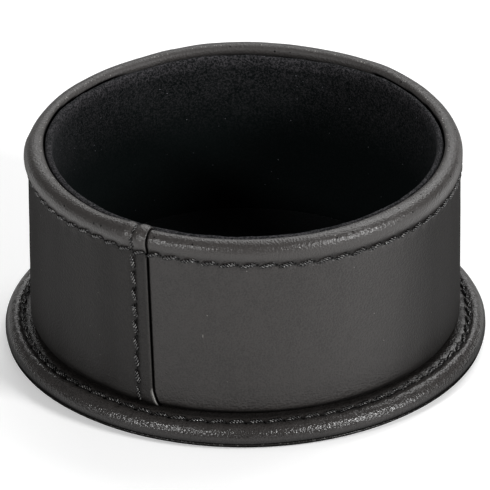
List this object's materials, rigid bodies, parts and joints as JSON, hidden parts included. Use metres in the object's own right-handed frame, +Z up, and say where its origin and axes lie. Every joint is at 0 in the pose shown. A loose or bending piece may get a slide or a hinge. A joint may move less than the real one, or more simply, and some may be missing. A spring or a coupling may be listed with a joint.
{
  "type": "paper clip holder",
  "caption": "Low round leather-covered desk cup with a velvet lining, a stitched lap seam and a wider padded base.",
  "frame": {"origin": "centre of the underside, on the plane that the base rests on", "axes": "+Z up along the cup's axis; -Y is the front, with the lap seam at the front left"},
  "size_m": [0.1098, 0.1098, 0.0504],
  "materials": {
    "leather": "satin",
    "thread": "satin",
    "velvet": "matte",
    "board": "matte",
    "padding": "matte"
  },
  "bodies": {
    "root": {"base_underside_cover": "leather", "base_board": "board", "base_edge_filler": "padding", "base_top_cover": "leather", "base_stitching": "thread", "base_under_stitching": "thread", "wall_core_tube": "board", "wall_cover": "leather", "rim_stitching": "thread", "seam_stitching": "thread", "rim_seam_stitching": "thread", "lining_card_tube": "board", "wall_lining": "velvet", "floor_card": "board", "floor_lining": "velvet"}
  },
  "joints": []
}
